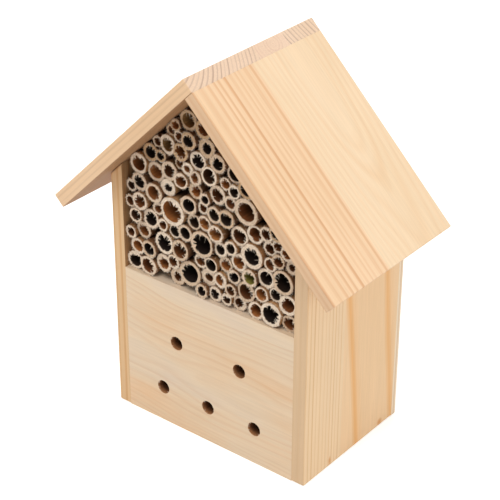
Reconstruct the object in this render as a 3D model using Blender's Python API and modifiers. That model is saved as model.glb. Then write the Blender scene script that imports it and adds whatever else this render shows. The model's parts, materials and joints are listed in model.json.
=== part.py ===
"""Insect hotel: a small pine house with a gabled roof, packed with bamboo canes above a drilled front panel.

Metres, +Z up. The origin is the middle of the base: the front faces -Y and the wall side faces +Y.
"""

import math

import bmesh
import bpy
import numpy as np
from mathutils import Matrix

MM = 0.001

# Clearances
GAP = 0.3 * MM                   # between any two pieces that touch
WELD_DEPTH = 0.2 * MM            # how far two canes of one bundle press into each other

# House
BODY_WIDTH = 160 * MM            # over the side boards
SIDE_DEPTH = 101 * MM            # front edge to back edge of a side board
SIDE_THICKNESS = 10 * MM
FRONT_THICKNESS = 10 * MM
FLOOR_THICKNESS = 10 * MM
SHELF_THICKNESS = 8 * MM
BACK_THICKNESS = 4.5 * MM
PANEL_HEIGHT = 110 * MM          # top of the front panel and of the shelf behind it
SOFFIT_APEX = 256.8 * MM         # where the undersides of the two roof boards meet
ROOF_PITCH = math.radians(45)

# Roof
LEFT_ROOF_THICKNESS = 10 * MM
RIGHT_ROOF_THICKNESS = 8.5 * MM
LEFT_ROOF_SLOPE = 160 * MM       # along the slope, covering the right board's top end
RIGHT_ROOF_SLOPE = 150 * MM
FRONT_OVERHANG = 18 * MM
REAR_OVERHANG = 3 * MM

# Drilled front panel
HOLE_DIAMETER = 10 * MM
HOLE_ROWS = (                    # height, spacing and count of each row of holes
    (27 * MM, 39 * MM, 3),
    (67 * MM, 53 * MM, 2),
)
HOLE_SIDES = 20

# Hanger on the back panel
HANGER_WIDTH = 40 * MM
HANGER_HEIGHT = 16 * MM
HANGER_THICKNESS = 1.0 * MM
HANGER_DROP = 60.8 * MM          # from the soffit's apex down to the plate's middle and its screws
HANGER_CORNER = 4 * MM
KEYHOLE_HEAD = 8 * MM            # round end that passes over a wall screw's head
KEYHOLE_SLOT = 4 * MM            # slot that hangs on its shank
KEYHOLE_DROP = 2.5 * MM          # from the plate's middle down to the middle of the round end
KEYHOLE_RISE = 5.5 * MM          # from there up to the middle of the slot's end
POCKET_MARGIN = 1 * MM           # room round the keyhole in the panel behind it
SCREW_SPREAD = 29 * MM           # between the two screws' axes
SCREW_SHANK = 2.4 * MM
SCREW_HEAD = 5 * MM
SCREW_HEAD_HEIGHT = 1.2 * MM
SCREW_LENGTH = 5 * MM
SCREW_SIDES = 16

# Bamboo canes
CANE_SIDES = 10
BORE_SHARE = 0.72                # bore diameter over cane diameter
CANE_RECESS = (0.5 * MM, 4.5 * MM)  # how far a cane's end stands behind the front face
BORE_DEPTH = (16 * MM, 62 * MM)  # from the cut end to the closed joint inside the cane
FIRST_FILL = 0.68                # share of the loft that the canes fill before they are swelled to fit
SWELL_STEP = 1.004               # growth of every cane at each try
SETTLE_SWEEPS = 600
SETTLE_EASE = 0.175              # share of an overlap that one sweep takes away
OVERLAP_ALLOWED = 0.1 * MM
GOLDEN_TURN = 0.61803398875

# Cane diameters in millimetres before they are swelled to fit, from the shelf up and from left to right.
# Each inner group is one bundle, whose canes are joined side by side.
CANE_ROWS = (
    ((12.5, 13.5), (12.0, 16.5), (9.5, 10.0), (8.0, 10.0), (11.5, 16.0, 11.5)),
    ((11.0, 12.0), (12.5, 10.0), (11.5, 10.5), (9.0, 13.5), (10.0, 9.5, 13.5)),
    ((9.0, 12.0), (15.5, 14.0), (9.5, 10.5), (10.0, 9.5), (11.5, 13.0, 16.0)),
    ((10.0, 13.0), (8.5, 9.5, 11.5), (17.5, 10.0), (9.5, 12.0), (9.5, 9.5, 9.5)),
    ((8.5, 12.5), (8.5, 19.0), (10.5, 10.5, 11.5), (13.0, 17.0), (9.5, 8.0, 10.0)),
    ((8.5, 12.5), (13.5, 11.5), (12.5, 8.0), (11.0, 12.0), (12.0, 10.0, 12.0, 9.0)),
    ((13.5, 13.0), (12.5, 10.5), (10.5, 8.0, 12.5), (9.5, 18.0), (11.0, 10.0, 8.0)),
    ((12.0, 8.0), (7.5, 8.5, 9.0), (8.5, 9.0), (12.0, 11.0, 9.0)),
    ((7.5, 12.5, 11.5), (12.5, 12.5), (12.0, 12.0, 10.0)),
    ((7.5, 7.5, 11.0), (12.5, 12.0), (12.0, 9.0)),
    ((7.5, 13.0), (12.0, 12.0, 11.0)),
    ((9.0, 11.0),),
    ((10.0,),),
)

# Colours (linear) and finishes: base colour, roughness, metallic
PINE = ((0.76, 0.53, 0.31), 0.62, 0.0)
PLYWOOD = ((0.72, 0.52, 0.33), 0.68, 0.0)
BAMBOO = ((0.62, 0.45, 0.27), 0.7, 0.0)
ZINC = ((0.55, 0.56, 0.58), 0.35, 1.0)

# Derived sizes
SIN_PITCH = math.sin(ROOF_PITCH)
COS_PITCH = math.cos(ROOF_PITCH)
TAN_PITCH = math.tan(ROOF_PITCH)
FRONT_Y = -(SIDE_DEPTH + GAP + BACK_THICKNESS) / 2
SIDE_BACK_Y = FRONT_Y + SIDE_DEPTH
PANEL_FRONT_Y = SIDE_BACK_Y + GAP
PANEL_BACK_Y = PANEL_FRONT_Y + BACK_THICKNESS
INNER_WIDTH = BODY_WIDTH - 2 * SIDE_THICKNESS
ROOF_DEPTH = FRONT_OVERHANG + (PANEL_BACK_Y - FRONT_Y) + REAR_OVERHANG
HANGER_LEVEL = SOFFIT_APEX - HANGER_DROP


def start_scene():
    """Empties the scene and makes one collection for the parts and one for the helpers that cut and join them."""
    for old in list(bpy.data.objects):
        bpy.data.objects.remove(old, do_unlink=True)
    made = []
    for name in ("insect_hotel", "cutters"):
        collection = bpy.data.collections.new(name)
        bpy.context.scene.collection.children.link(collection)
        made.append(collection)
    return made


def material(name, finish):
    colour, roughness, metallic = finish
    made = bpy.data.materials.new(name)
    made.use_nodes = True
    shader = made.node_tree.nodes["Principled BSDF"]
    shader.inputs["Base Color"].default_value = (*colour, 1.0)
    shader.inputs["Roughness"].default_value = roughness
    shader.inputs["Metallic"].default_value = metallic
    return made


def place(obj, collection, finish=None):
    """Moves a new object into one of the two collections; a part gets its own material and a helper is hidden."""
    for old in obj.users_collection:
        old.objects.unlink(obj)
    collection.objects.link(obj)
    if finish:
        obj.data.materials.append(material(obj.name, finish))
    else:
        obj.hide_render = True
        obj.display_type = "WIRE"
    return obj


def box(name, size, centre, collection, finish=None):
    bpy.ops.mesh.primitive_cube_add(size=1.0, location=centre)
    obj = bpy.context.object
    obj.name = name
    obj.scale = size
    bpy.ops.object.transform_apply(location=False, rotation=False, scale=True)
    return place(obj, collection, finish)


def rod(name, radius, length, centre, sides, collection, finish=None):
    """A cylinder along Y."""
    bpy.ops.mesh.primitive_cylinder_add(
        vertices=sides, radius=radius, depth=length, location=centre, rotation=(math.pi / 2, 0.0, 0.0)
    )
    obj = bpy.context.object
    obj.name = name
    return place(obj, collection, finish)


def slab(name, outline, thickness, middle_y, collection, finish=None):
    """A flat board in the XZ plane: its outline is drawn as a curve and made thick along Y."""
    curve = bpy.data.curves.new(name, "CURVE")
    curve.dimensions = "2D"
    curve.fill_mode = "BOTH"
    curve.extrude = thickness / 2
    spline = curve.splines.new("POLY")
    spline.points.add(len(outline) - 1)
    for point, (x, z) in zip(spline.points, outline):
        point.co = (x, z, 0.0, 1.0)
    spline.use_cyclic_u = True
    drawn = bpy.data.objects.new(name + "_outline", curve)
    bpy.context.scene.collection.objects.link(drawn)
    bpy.context.view_layer.update()
    mesh = bpy.data.meshes.new_from_object(drawn.evaluated_get(bpy.context.evaluated_depsgraph_get()))
    bpy.data.objects.remove(drawn, do_unlink=True)
    shell = bmesh.new()
    shell.from_mesh(mesh)
    bmesh.ops.remove_doubles(shell, verts=shell.verts, dist=0.01 * MM)
    bmesh.ops.recalc_face_normals(shell, faces=shell.faces)
    shell.to_mesh(mesh)
    shell.free()
    obj = bpy.data.objects.new(name, mesh)
    bpy.context.scene.collection.objects.link(obj)
    obj.rotation_euler = (math.pi / 2, 0.0, 0.0)
    obj.location = (0.0, middle_y, 0.0)
    return place(obj, collection, finish)


def change(obj, operation, helper):
    step = obj.modifiers.new(operation.lower() + "_" + helper.name, "BOOLEAN")
    step.operation = operation
    step.solver = "EXACT"
    step.object = helper


def soffit_height(x):
    """Height of a board's top edge under the roof at a distance x from the middle."""
    return SOFFIT_APEX - GAP / COS_PITCH - abs(x) * TAN_PITCH


def side_board(name, side, parts):
    outer, inner = side * BODY_WIDTH / 2, side * (BODY_WIDTH / 2 - SIDE_THICKNESS)
    outline = ((outer, 0.0), (inner, 0.0), (inner, soffit_height(inner)), (outer, soffit_height(outer)))
    slab(name, outline, SIDE_DEPTH, (FRONT_Y + SIDE_BACK_Y) / 2, parts, PINE)


def hole_centres():
    for height, spacing, count in HOLE_ROWS:
        for i in range(count):
            yield (i - (count - 1) / 2) * spacing, height


def front_panel(parts, cutters):
    panel = box(
        "front_panel",
        (INNER_WIDTH - 2 * GAP, FRONT_THICKNESS, PANEL_HEIGHT),
        (0.0, FRONT_Y + FRONT_THICKNESS / 2, PANEL_HEIGHT / 2),
        parts,
        PINE,
    )
    for i, (x, z) in enumerate(hole_centres()):
        drill = rod(
            f"drill_{i + 1}",
            HOLE_DIAMETER / 2,
            3 * FRONT_THICKNESS,
            (x, FRONT_Y + FRONT_THICKNESS / 2, z),
            HOLE_SIDES,
            cutters,
        )
        change(panel, "DIFFERENCE", drill)


def level_board(name, thickness, top, parts):
    """A board that lies between the side boards, from the front panel to the back panel."""
    front = FRONT_Y + FRONT_THICKNESS + GAP
    box(
        name,
        (INNER_WIDTH - 2 * GAP, SIDE_BACK_Y - front, thickness),
        (0.0, (front + SIDE_BACK_Y) / 2, top - thickness / 2),
        parts,
        PINE,
    )


def roof_point(side, down, out):
    """A point beside the roof: down the slope from the soffit's apex, and out from the soffit at right angles."""
    return side * (down * COS_PITCH + out * SIN_PITCH), SOFFIT_APEX - down * SIN_PITCH + out * COS_PITCH


def roof_boards(parts):
    """The left board runs over the top end of the right one, which is cut to butt against its underside."""
    middle_y = FRONT_Y - FRONT_OVERHANG + ROOF_DEPTH / 2
    cover = RIGHT_ROOF_THICKNESS / math.sin(2 * ROOF_PITCH)
    eave = LEFT_ROOF_SLOPE - cover
    corners = ((-cover, 0.0), (eave, 0.0), (eave, LEFT_ROOF_THICKNESS), (-cover, LEFT_ROOF_THICKNESS))
    outline = [roof_point(-1, down, out) for down, out in corners]
    slab("left_roof_board", outline, ROOF_DEPTH, middle_y, parts, PINE)
    under = GAP / math.sin(2 * ROOF_PITCH)
    top = (GAP + RIGHT_ROOF_THICKNESS * math.cos(2 * ROOF_PITCH)) / math.sin(2 * ROOF_PITCH)
    eave = RIGHT_ROOF_SLOPE
    corners = ((under, 0.0), (eave, 0.0), (eave, RIGHT_ROOF_THICKNESS), (top, RIGHT_ROOF_THICKNESS))
    outline = [roof_point(1, down, out) for down, out in corners]
    slab("right_roof_board", outline, ROOF_DEPTH, middle_y, parts, PINE)


def back_panel(parts, cutters):
    """The pentagonal back, with a round-ended pocket behind the hanger's keyhole and the two screw holes."""
    half = BODY_WIDTH / 2
    outline = (
        (-half, 0.0),
        (half, 0.0),
        (half, soffit_height(half)),
        (0.0, soffit_height(0.0)),
        (-half, soffit_height(half)),
    )
    middle_y = (PANEL_FRONT_Y + PANEL_BACK_Y) / 2
    panel = slab("back_panel", outline, BACK_THICKNESS, middle_y, parts, PLYWOOD)
    radius = KEYHOLE_HEAD / 2 + POCKET_MARGIN
    pocket = keyhole_cutter("pocket_cutter", radius, radius, middle_y, 3 * BACK_THICKNESS, cutters)
    change(panel, "DIFFERENCE", pocket)
    for side, name in ((-1, "left"), (1, "right")):
        pilot = rod(
            f"pilot_{name}",
            SCREW_SHANK / 2 + GAP,
            3 * BACK_THICKNESS,
            (side * SCREW_SPREAD / 2, middle_y, HANGER_LEVEL),
            SCREW_SIDES,
            cutters,
        )
        change(panel, "DIFFERENCE", pilot)


def arc(x, z, radius, first, last, steps):
    """Points along an arc, angles in degrees."""
    for i in range(steps + 1):
        angle = math.radians(first + (last - first) * i / steps)
        yield x + radius * math.cos(angle), z + radius * math.sin(angle)


def keyhole_cutter(name, head, slot, middle_y, length, cutters):
    """A keyhole outline: a round end of radius head, with a slot of half width slot rising to KEYHOLE_RISE."""
    turn = math.degrees(math.asin(slot / head)) if slot < head else 90.0
    low = HANGER_LEVEL - KEYHOLE_DROP
    outline = [
        *arc(0.0, low, head, 90.0 + turn, 450.0 - turn, 20),
        *arc(0.0, low + KEYHOLE_RISE, slot, 0.0, 180.0, 10),
    ]
    return slab(name, outline, length, middle_y, cutters)


def hanger_plate(parts, cutters):
    middle_y = PANEL_BACK_Y + GAP + HANGER_THICKNESS / 2
    half_x = HANGER_WIDTH / 2 - HANGER_CORNER
    half_z = HANGER_HEIGHT / 2 - HANGER_CORNER
    outline = []
    for quarter, (x, z) in enumerate(((half_x, half_z), (-half_x, half_z), (-half_x, -half_z), (half_x, -half_z))):
        outline += arc(x, HANGER_LEVEL + z, HANGER_CORNER, 90.0 * quarter, 90.0 * (quarter + 1), 4)
    plate = slab("hanger_plate", outline, HANGER_THICKNESS, middle_y, parts, ZINC)
    keyhole = keyhole_cutter(
        "keyhole_cutter", KEYHOLE_HEAD / 2, KEYHOLE_SLOT / 2, middle_y, 4 * HANGER_THICKNESS, cutters
    )
    change(plate, "DIFFERENCE", keyhole)
    for side, name in ((-1, "left"), (1, "right")):
        hole = rod(
            f"plate_hole_{name}",
            SCREW_SHANK / 2 + GAP,
            4 * HANGER_THICKNESS,
            (side * SCREW_SPREAD / 2, middle_y, HANGER_LEVEL),
            SCREW_SIDES,
            cutters,
        )
        change(plate, "DIFFERENCE", hole)


def hanger_screw(name, side, parts):
    """A flat-headed screw: a turned profile about its own axis, head outwards."""
    seat = PANEL_BACK_Y + 2 * GAP + HANGER_THICKNESS
    profile = (
        (0.0, SCREW_HEAD_HEIGHT),
        (SCREW_HEAD / 2, SCREW_HEAD_HEIGHT),
        (SCREW_HEAD / 2, 0.0),
        (SCREW_SHANK / 2, 0.0),
        (SCREW_SHANK / 2, SCREW_SHANK / 2 - SCREW_LENGTH),
        (0.0, -SCREW_LENGTH),
    )
    mesh = bpy.data.meshes.new(name)
    line = bmesh.new()
    points = [line.verts.new((x, 0.0, z)) for x, z in profile]
    for first, second in zip(points, points[1:]):
        line.edges.new((first, second))
    line.to_mesh(mesh)
    line.free()
    screw = bpy.data.objects.new(name, mesh)
    bpy.context.scene.collection.objects.link(screw)
    screw.rotation_euler = (-math.pi / 2, 0.0, 0.0)
    screw.location = (side * SCREW_SPREAD / 2, seat, HANGER_LEVEL)
    turned = screw.modifiers.new("turned", "SCREW")
    turned.axis = "Z"
    turned.steps = SCREW_SIDES
    turned.render_steps = SCREW_SIDES
    turned.use_merge_vertices = True
    turned.merge_threshold = 0.01 * MM
    place(screw, parts, ZINC)


def row_starts():
    """The canes before they settle: radii, first places (x, z) and bundle numbers, row by row."""
    radii, places, bundles = [], [], []
    bundle = 0
    row_height = (SOFFIT_APEX - PANEL_HEIGHT) / len(CANE_ROWS)
    for level, row in enumerate(CANE_ROWS):
        z = PANEL_HEIGHT + (level + 0.5) * row_height
        half = min(INNER_WIDTH / 2, (SOFFIT_APEX - z) / TAN_PITCH)
        stretch = 2 * half / sum(sum(group) for group in row)
        x = -half
        for group in row:
            for diameter in group:
                radii.append(diameter / 2 * MM)
                places.append((x + diameter * stretch / 2, z))
                bundles.append(bundle)
                x += diameter * stretch
            bundle += 1
    return np.array(radii), np.array(places), np.array(bundles)


def settle(places, radii, linked, sweeps):
    """Pushes overlapping canes apart and back inside the loft. Returns the places and the worst error left.

    Rounding after each sweep keeps the result the same on every machine.
    """
    count = len(radii)
    reach = radii[:, None] + radii[None, :]
    wanted = np.where(linked, reach * math.cos(math.pi / CANE_SIDES) - WELD_DEPTH, reach + GAP)
    own = np.eye(count)
    half_width = INNER_WIDTH / 2 - radii - GAP
    floor = PANEL_HEIGHT + radii + GAP
    roof = SOFFIT_APEX * COS_PITCH - radii - GAP
    for sweep in range(sweeps + 1):
        apart = places[:, None, :] - places[None, :, :]
        distance = np.sqrt((apart**2).sum(-1)) + own
        error = np.where(linked, wanted - distance, np.maximum(wanted - distance, 0.0)) * (1.0 - own)
        if sweep == sweeps:
            return places, abs(error).max()
        places = places + SETTLE_EASE * (apart / distance[..., None] * error[..., None]).sum(1)
        places[:, 0] = np.clip(places[:, 0], -half_width, half_width)
        places[:, 1] = np.maximum(places[:, 1], floor)
        for side in (-1, 1):
            past = np.maximum(side * places[:, 0] * SIN_PITCH + places[:, 1] * COS_PITCH - roof, 0.0)
            places[:, 0] -= side * past * SIN_PITCH
            places[:, 1] -= past * COS_PITCH
        places = places.round(9)


def packed_canes():
    """Swells and settles the canes until the loft holds no more. Returns places, radii and bundle numbers."""
    radii, places, bundles = row_starts()
    number = np.arange(len(radii))
    linked = (abs(number[:, None] - number[None, :]) == 1) & (bundles[:, None] == bundles[None, :])
    loft = INNER_WIDTH * (SOFFIT_APEX - PANEL_HEIGHT) - INNER_WIDTH**2 / 4 * TAN_PITCH
    radii = radii * math.sqrt(FIRST_FILL * loft / (math.pi * (radii**2).sum()))
    packed = None
    while True:
        places, error = settle(places, radii, linked, SETTLE_SWEEPS)
        if error > OVERLAP_ALLOWED:
            places, error = settle(places, radii, linked, 3 * SETTLE_SWEEPS)
        if error > OVERLAP_ALLOWED:
            return packed
        packed = places, radii, bundles
        radii = radii * SWELL_STEP


def spread(number, turn, limits):
    """A value between two limits, evenly scattered over the canes."""
    low, high = limits
    return low + (high - low) * ((number + 1) * turn % 1.0)


def cane_mesh(name, number, x, z, radius):
    """A cane along Y with its bore sunk from the front end to the joint where the bamboo is closed."""
    front = FRONT_Y + spread(number, GOLDEN_TURN, CANE_RECESS)
    length = SIDE_BACK_Y - front
    cane = bmesh.new()
    bmesh.ops.create_cone(
        cane,
        cap_ends=True,
        segments=CANE_SIDES,
        radius1=radius,
        radius2=radius,
        depth=length,
        matrix=Matrix.Translation((x, front + length / 2, z)) @ Matrix.Rotation(math.pi / 2, 4, "X"),
    )
    mouth = min(cane.faces, key=lambda face: face.calc_center_median().y)
    wall = radius * (1.0 - BORE_SHARE) * math.cos(math.pi / CANE_SIDES)
    bmesh.ops.inset_individual(cane, faces=[mouth], thickness=wall)
    sunk = bmesh.ops.extrude_discrete_faces(cane, faces=[mouth])["faces"][0]
    depth = spread(number, GOLDEN_TURN**2, BORE_DEPTH)
    bmesh.ops.translate(cane, verts=sunk.verts, vec=(0.0, depth, 0.0))
    mesh = bpy.data.meshes.new(name)
    cane.to_mesh(mesh)
    cane.free()
    return mesh


def cane_bundles(parts, cutters):
    """One part for each bundle: its first cane, with the others joined to it."""
    places, radii, bundles = packed_canes()
    part = None
    for number, ((x, z), radius, bundle) in enumerate(zip(places, radii, bundles)):
        leads = number == 0 or bundle != bundles[number - 1]
        name = f"cane_bundle_{bundle + 1:02d}" if leads else f"cane_{number + 1:03d}"
        mesh = cane_mesh(name, number, float(x), float(z), float(radius))
        cane = bpy.data.objects.new(name, mesh)
        bpy.context.scene.collection.objects.link(cane)
        if leads:
            part = place(cane, parts, BAMBOO)
        else:
            place(cane, cutters)
            change(part, "UNION", cane)


def build():
    parts, cutters = start_scene()
    side_board("left_side_board", -1, parts)
    side_board("right_side_board", 1, parts)
    front_panel(parts, cutters)
    level_board("floor_board", FLOOR_THICKNESS, FLOOR_THICKNESS, parts)
    level_board("shelf_board", SHELF_THICKNESS, PANEL_HEIGHT, parts)
    back_panel(parts, cutters)
    roof_boards(parts)
    hanger_plate(parts, cutters)
    hanger_screw("hanger_screw_left", -1, parts)
    hanger_screw("hanger_screw_right", 1, parts)
    cane_bundles(parts, cutters)


build()
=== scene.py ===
import json
import math
import random

import bmesh
import bpy
from mathutils import Euler, Matrix, Vector


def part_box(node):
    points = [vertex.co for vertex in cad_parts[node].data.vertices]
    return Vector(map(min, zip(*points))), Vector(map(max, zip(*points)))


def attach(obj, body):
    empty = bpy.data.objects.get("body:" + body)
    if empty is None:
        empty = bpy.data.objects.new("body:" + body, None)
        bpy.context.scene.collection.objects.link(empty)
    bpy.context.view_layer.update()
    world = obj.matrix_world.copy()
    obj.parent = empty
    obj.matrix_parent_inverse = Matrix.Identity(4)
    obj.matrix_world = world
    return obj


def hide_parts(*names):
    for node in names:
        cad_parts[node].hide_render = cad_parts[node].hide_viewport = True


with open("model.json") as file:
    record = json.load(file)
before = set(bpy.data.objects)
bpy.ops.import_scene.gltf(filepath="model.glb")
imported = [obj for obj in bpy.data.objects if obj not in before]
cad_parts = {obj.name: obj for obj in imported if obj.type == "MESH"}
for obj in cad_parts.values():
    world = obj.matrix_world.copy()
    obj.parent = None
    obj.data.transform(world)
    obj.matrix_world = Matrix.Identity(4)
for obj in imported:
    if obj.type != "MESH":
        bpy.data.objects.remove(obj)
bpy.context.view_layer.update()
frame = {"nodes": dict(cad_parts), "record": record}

MM = 0.001
BODY = "root"
NODES = frame["nodes"]

# Camera, by its place round the middle of the house
CAMERA_AZIMUTH = 38.29
CAMERA_ELEVATION = 29.53
CAMERA_ROLL = -0.216
CAMERA_DISTANCE = 1.0326
CAMERA_LENS = 113.6
CAMERA_AIM = Vector((-0.001, -0.007, 0.127))

# Boards
BOARD_EDGE = 1.1 * MM  # softened edge of a planed board
ROOF_EDGE = 0.7 * MM
PLYWOOD_EDGE = 0.25 * MM
PLATE_EDGE = 0.12 * MM
JOINT = 0.3 * MM  # a joint's clearance between the plain solids
GLUE_LINE = 0.03 * MM  # what is left of it once the joint is glued up
SIDE_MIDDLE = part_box("right_side_board")[1][2] / 2  # half the height of a side board

# Drilled holes
RIM_EDGE = 0.2 * MM  # softened rim
HOLE_SEGMENTS = 48
CHIPS_PER_HOLE = 16  # torn chips round each rim

# Canes
CANE_SWELL = (0.995, 1.05)  # a cane's radius over that of its plain solid, where nothing presses on it
CANE_CLEARANCE = 0.04 * MM  # left between two canes that press on each other
BURR_DEPTH = 1.3 * MM  # how far down the bore a torn fibre is still attached
OLIVE_CANE = (0.0307, 0.1365)  # where the one cane with a greenish bore stands
PAINTED_ROOF_SHADE_LEVEL = 0.190  # painted shade under the roof: above this the canes' ends and skins are darker and yellower
SOFFIT_LEAN = math.sqrt(0.5)  # how far off a roof board a cane gets for each step down or inwards
SEED = 20

# Reading the plain solids
SAME_CORNER = 0.005 * MM  # corners nearer than this are one
SAME_FLAT = 0.02 * MM  # the faces of one cut end or joint lie within this of each other
SAME_END = 0.5 * MM  # corners this near a board's furthest one are on the same end of it
MOUTH_REACH = 9 * MM  # cut ends lie within this of the foremost one, and closed joints deeper
CANE_ROW = 9 * MM  # height of one row, in the order in which the canes are numbered
SHARP_TURN = math.radians(35)  # rounded pieces keep a crease where they turn by more than this

# Light
SKY_LIGHT = 0.60  # how strongly the white surroundings light the house
FLOOR_LIFT = 0.35  # how much lighter the floor is seen than it is lit
LAMP_DISTANCE = 4.0
LAMP_SPREAD = math.radians(30)  # a lamp's width, seen from the house
LAMPS = (  # name, azimuth, elevation and strength
    ("key", 10.0, 62.0, 0.44),
    ("side_fill", 105.0, 20.0, 0.20),
    ("back_fill", 215.0, 35.0, 0.20),
)


def board_frame(angle_y):
    """Turn that lays local X along a board's grain."""
    return Euler((0.0, angle_y, 0.0))


UPRIGHT = board_frame(-math.pi / 2)  # grain along Z; local Y is world Y
LEVEL = board_frame(0.0)  # grain along X
RIGHT_SLOPE = board_frame(math.pi / 4)  # grain down the right slope
LEFT_SLOPE = board_frame(-math.pi / 4)  # grain up the left slope


def direction(azimuth, elevation):
    """The way from the house to a place, by its angles in degrees: round from the front, and up."""
    around, up = math.radians(azimuth), math.radians(elevation)
    return Vector((math.sin(around) * math.cos(up), -math.cos(around) * math.cos(up), math.sin(up)))


def spoke(angle, radius=1.0, y=0.0):
    """A step out from an axis that runs along Y."""
    return Vector((radius * math.cos(angle), y, radius * math.sin(angle)))


def mesh_from(name, shape):
    """Turns a bmesh into a mesh and frees it."""
    mesh = bpy.data.meshes.new(name)
    shape.to_mesh(mesh)
    shape.free()
    return mesh


def set_out(name, data):
    """Puts a mesh, a lamp or a camera into the scene."""
    thing = bpy.data.objects.new(name, data)
    bpy.context.scene.collection.objects.link(thing)
    return thing


# ---- materials


class Recipe:
    """A material's nodes, added one at a time and joined by their sockets."""

    def __init__(self, name):
        self.material = bpy.data.materials.new(name)
        self.material.use_nodes = True
        self.tree = self.material.node_tree
        self.shader = self.tree.nodes["Principled BSDF"]

    def add(self, kind, inputs=(), **settings):
        node = self.tree.nodes.new(kind)
        for key, value in settings.items():
            setattr(node, key, value)
        for key, value in dict(inputs).items():
            self.feed(node.inputs[key], value)
        return node

    def feed(self, socket, value):
        """Links a socket to another's output, or sets it."""
        if isinstance(value, bpy.types.NodeSocket):
            self.tree.links.new(value, socket)
        else:
            socket.default_value = value

    def maths(self, operation, first, second=0.0, third=0.0):
        return self.add("ShaderNodeMath", {0: first, 1: second, 2: third}, operation=operation).outputs[0]

    def times(self, first, second):
        return self.maths("MULTIPLY", first, second)

    def less(self, first, second):
        return self.maths("SUBTRACT", first, second)

    def over(self, first, second):
        return self.maths("DIVIDE", first, second)

    def length(self, vector):
        return self.add("ShaderNodeVectorMath", {0: vector}, operation="LENGTH").outputs["Value"]

    def normal(self):
        return self.add("ShaderNodeNewGeometry").outputs["Normal"]

    def facing(self, normal, way):
        """How far a face looks along a direction: 1 is straight along it."""
        node = self.add("ShaderNodeVectorMath", {0: normal, 1: tuple(way)}, operation="DOT_PRODUCT")
        return node.outputs["Value"]

    def parts(self, vector):
        return self.add("ShaderNodeSeparateXYZ", {0: vector}).outputs

    def joined(self, x, y, z):
        return self.add("ShaderNodeCombineXYZ", {0: x, 1: y, 2: z}).outputs[0]

    def place(self):
        return self.add("ShaderNodeTexCoord").outputs["Object"]

    def mapped(self, vector, **inputs):
        """A place scaled, turned or moved, so that a pattern on it is too."""
        named = {key.title(): value for key, value in inputs.items()}
        return self.add("ShaderNodeMapping", {"Vector": vector, **named}, vector_type="POINT").outputs[0]

    def grain(self, vector, scale, detail, roughness, seed=0.0):
        """Noise drawn out along an axis: scale is how fine it is along each."""
        return self.noise(self.mapped(vector, scale=scale), 1.0, detail, roughness, seed)

    def noise(self, vector, scale, detail, roughness, seed=0.0):
        node = self.add(
            "ShaderNodeTexNoise",
            {"Vector": vector, "W": seed, "Scale": scale, "Detail": detail, "Roughness": roughness},
            noise_dimensions="4D",
        )
        return node.outputs[0]

    def steps(self, factor, stops, smooth=False):
        """A ramp of (position, value) stops; a value is a grey level or a colour."""
        node = self.add("ShaderNodeValToRGB", {0: factor})
        ramp = node.color_ramp
        ramp.interpolation = "EASE" if smooth else "LINEAR"
        while len(ramp.elements) < len(stops):
            ramp.elements.new(0.5)
        for element, (position, value) in zip(ramp.elements, stops):
            element.position = position
            element.color = (*(value if isinstance(value, tuple) else (value,) * 3), 1.0)
        return node.outputs[0]

    def blend(self, factor, first, second, mode="MIX"):
        """Goes from the first colour to the second as the factor runs from 0 to 1."""
        node = self.add("ShaderNodeMix", data_type="RGBA", blend_type=mode)
        for socket, value in zip((node.inputs[0], node.inputs[6], node.inputs[7]), (factor, first, second)):
            self.feed(socket, (*value, 1.0) if isinstance(value, tuple) else value)
        return node.outputs[2]

    def tinted(self, factor, colour, tint):
        """The colour times the tint, as far as the factor says."""
        return self.blend(factor, colour, self.blend(1.0, colour, tint, "MULTIPLY"))

    def shaded(self, colour, tones):
        """The colour times a grey or a colour that varies over the surface."""
        return self.blend(1.0, colour, tones, "MULTIPLY")

    def between(self, factor, low, high):
        """A number that runs from low to high as the factor runs from 0 to 1."""
        return self.maths("MULTIPLY_ADD", factor, high - low, low)

    def attribute(self, name):
        """A number that the mesh carries on its vertices."""
        return self.add("ShaderNodeAttribute", attribute_name=name).outputs["Fac"]

    def bump(self, height, distance):
        return self.add("ShaderNodeBump", {"Height": height, "Distance": distance, "Strength": 1.0}).outputs[0]

    def finish(self, colour, roughness, normal=None, specular=0.3):
        """Feeds the shader and hands back the finished material."""
        self.feed(self.shader.inputs["Base Color"], colour)
        self.feed(self.shader.inputs["Roughness"], roughness)
        self.shader.inputs["Specular IOR Level"].default_value = specular
        if normal is not None:
            self.feed(self.shader.inputs["Normal"], normal)
        return self.material


# How dark a ring is across its width, from early wood to late wood
SOFT_LINE = ((0.0, 0.35), (0.12, 0.0), (0.5, 0.12), (0.8, 0.75), (0.92, 1.0), (1.0, 0.35))
BROAD_LINE = ((0.0, 0.1), (0.2, 0.0), (0.45, 0.45), (0.7, 1.0), (0.9, 0.6), (1.0, 0.1))
FINE_LINE = ((0.0, 0.15), (0.12, 0.0), (0.55, 0.08), (0.78, 0.9), (0.9, 1.0), (1.0, 0.15))
STRIPE_LINE = ((0.0, 0.1), (0.12, 0.0), (0.42, 0.1), (0.62, 0.75), (0.8, 1.0), (0.92, 0.6), (1.0, 0.1))
VEIN_LINE = ((0.0, 0.0), (0.64, 0.0), (0.77, 0.25), (0.84, 0.85), (0.875, 1.0), (0.92, 0.55), (0.985, 0.0))
# The tint of a board's slow changes of tone, from its dullest to its brightest patches
EVEN_TONE = ((0.3, (0.97, 0.955, 0.93)), (0.7, (1.02, 1.03, 1.05)))
RESIN = (0.50, 0.29, 0.14)
KNOT = (0.62, 0.27, 0.08)
PORE = (0.42, 0.26, 0.15)
PAINTED_SHADE_TINT = (0.54, 0.42, 0.31)  # painted shade: the tint of wood that the light doesn't reach


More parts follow.
